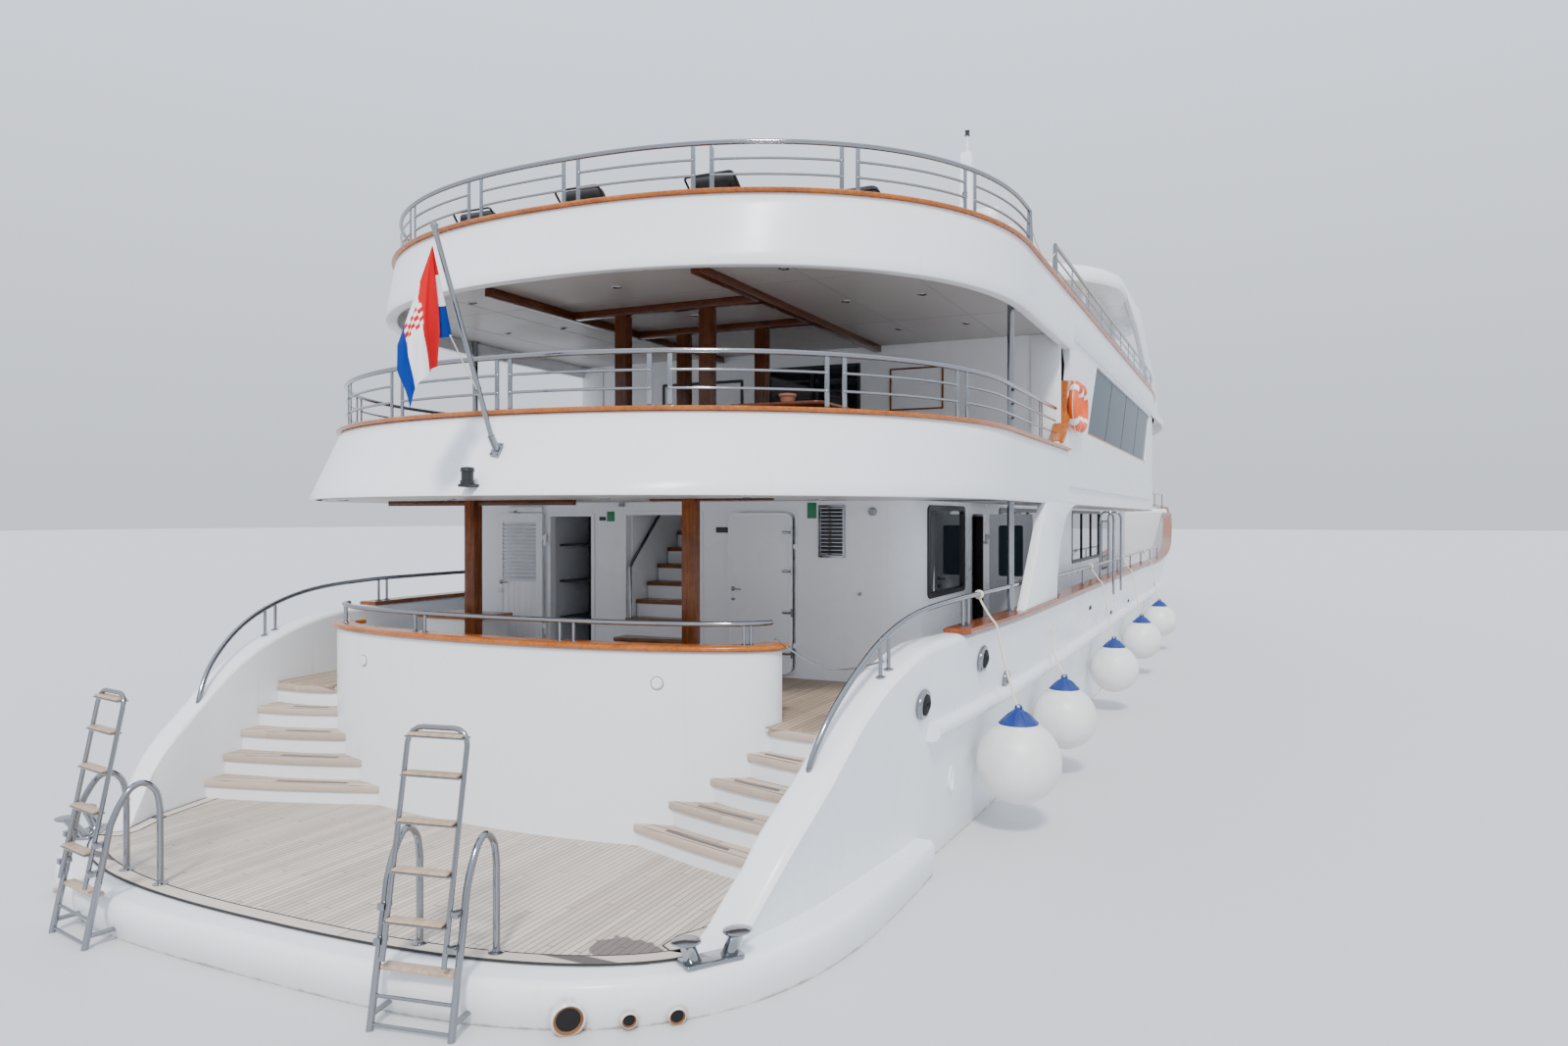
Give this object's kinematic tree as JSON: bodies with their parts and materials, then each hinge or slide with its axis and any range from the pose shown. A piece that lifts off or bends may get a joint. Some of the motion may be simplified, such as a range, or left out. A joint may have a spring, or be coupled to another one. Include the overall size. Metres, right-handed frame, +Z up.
{
  "type": "three-deck motor yacht, 1:2 scale model",
  "caption": "Three-deck motor yacht afloat with a rounded stern, bathing platform, side decks, lounge, sun deck, hardtop, mast and twin screws, at 1:2 scale.",
  "frame": {"origin": "on the waterline, amidships, on the centreline", "axes": "+X to the bow, +Y to port, +Z up"},
  "size_m": [23.9335, 4.7775, 8.157],
  "materials": {
    "white_paint": "gloss white yacht enamel",
    "teak": "weathered teak planks with dark caulking",
    "varnish": "varnished mahogany",
    "stainless": "polished stainless steel",
    "tinted_glass": "dark tinted glass",
    "bronze": "propeller bronze",
    "antifouling": "matt red antifouling",
    "lamp_black": "black lamp housing",
    "flag_cloth": "woven flag cloth",
    "machinery_grey": "grey enamel",
    "fender_vinyl": "inflated white vinyl"
  },
  "bodies": {
    "ship": {"hull": "white_paint", "transom_block": "white_paint", "main_house": "white_paint", "inner_stair": "white_paint", "stair_port": "white_paint", "stair_starboard": "white_paint", "upper_deck": "white_paint", "upper_house": "white_paint", "sun_deck": "white_paint", "wheelhouse": "white_paint", "hardtop": "white_paint", "mast": "white_paint", "dome_small": "white_paint", "dome_large": "white_paint", "platform_teak": "teak", "main_deck_teak": "teak", "transom_cap": "varnish", "bulwark_cap_port": "varnish", "bulwark_cap_starboard": "varnish", "aft_post_port": "varnish", "aft_post_starboard": "varnish", "upper_cap": "varnish", "lounge_frame": "varnish", "sun_cap": "varnish", "transom_rail": "stainless", "wing_rail_port": "stainless", "wing_rail_starboard": "stainless", "side_rail_port": "stainless", "side_rail_starboard": "stainless", "upper_rail": "stainless", "sun_rail_aft": "stainless", "sun_rail_port": "stainless", "sun_rail_starboard": "stainless", "ladder_frame_port": "stainless", "ladder_frame_starboard": "stainless", "bollard_port": "stainless", "bollard_starboard": "stainless", "flagstaff": "stainless", "bow_rail": "stainless", "main_house_glass": "tinted_glass", "upper_house_glass": "tinted_glass", "wheelhouse_glass": "tinted_glass", "stern_light": "lamp_black", "flag": "flag_cloth", "shaft_port": "machinery_grey", "shaft_starboard": "machinery_grey", "windlass": "machinery_grey", "fender_second": "fender_vinyl"},
    "steel_door": {"steel_door": "white_paint"},
    "louvred_door": {"louvred_door": "white_paint"},
    "side_door_port": {"side_door_port": "white_paint"},
    "side_door_starboard": {"side_door_starboard": "white_paint"},
    "swim_ladder_port": {"swim_ladder_port": "stainless"},
    "swim_ladder_starboard": {"swim_ladder_starboard": "stainless"},
    "propeller_port": {"propeller_port": "bronze"},
    "propeller_starboard": {"propeller_starboard": "bronze"},
    "rudder_port": {"rudder_port": "antifouling"},
    "rudder_starboard": {"rudder_starboard": "antifouling"},
    "radar_scanner": {"radar_scanner": "white_paint"}
  },
  "joints": [
    {"name": "propeller_port_turn", "type": "hinge", "parent": "ship", "child": "propeller_port", "pos_m": [-9.175, 0.775, -0.99], "axis": [0.9972, 0, 0.0748], "continuous": true},
    {"name": "propeller_starboard_turn", "type": "hinge", "parent": "ship", "child": "propeller_starboard", "pos_m": [-9.175, -0.775, -0.99], "axis": [0.9972, 0, 0.0748], "continuous": true},
    {"name": "rudder_port_turn", "type": "hinge", "parent": "ship", "child": "rudder_port", "pos_m": [-9.875, 0.775, -0.95], "axis": [0, 0, 1], "range_deg": [-35, 35]},
    {"name": "rudder_starboard_turn", "type": "hinge", "parent": "ship", "child": "rudder_starboard", "pos_m": [-9.875, -0.775, -0.95], "axis": [0, 0, 1], "range_deg": [-35, 35]},
    {"name": "steel_door_hinge", "type": "hinge", "parent": "ship", "child": "steel_door", "pos_m": [-8.79, -0.94, 1.25], "axis": [0, 0, 1], "range_deg": [0, 115]},
    {"name": "louvred_door_hinge", "type": "hinge", "parent": "ship", "child": "louvred_door", "pos_m": [-8.79, 0.92, 1.25], "axis": [0, 0, 1], "range_deg": [0, 172]},
    {"name": "side_door_port_hinge", "type": "hinge", "parent": "ship", "child": "side_door_port", "pos_m": [-7.205, 1.725, 1.25], "axis": [0, 0, 1], "range_deg": [-55, 95]},
    {"name": "side_door_starboard_hinge", "type": "hinge", "parent": "ship", "child": "side_door_starboard", "pos_m": [-7.205, -1.725, 1.25], "axis": [0, 0, 1], "range_deg": [-95, 55]},
    {"name": "radar_turn", "type": "hinge", "parent": "ship", "child": "radar_scanner", "pos_m": [-0.675, 0, 5.8], "axis": [0, 0, 1], "continuous": true},
    {"name": "swim_ladder_port_slide", "type": "slide", "parent": "ship", "child": "swim_ladder_port", "axis": [-0.1931, 0.0341, -0.9806], "range_m": [0, 0.55]},
    {"name": "swim_ladder_starboard_slide", "type": "slide", "parent": "ship", "child": "swim_ladder_starboard", "axis": [-0.1931, -0.0341, -0.9806], "range_m": [0, 0.55]}
  ],
  "couplings": [
    {"joint": "rudder_starboard_turn", "follows": "rudder_port_turn", "ratio": 1}
  ]
}
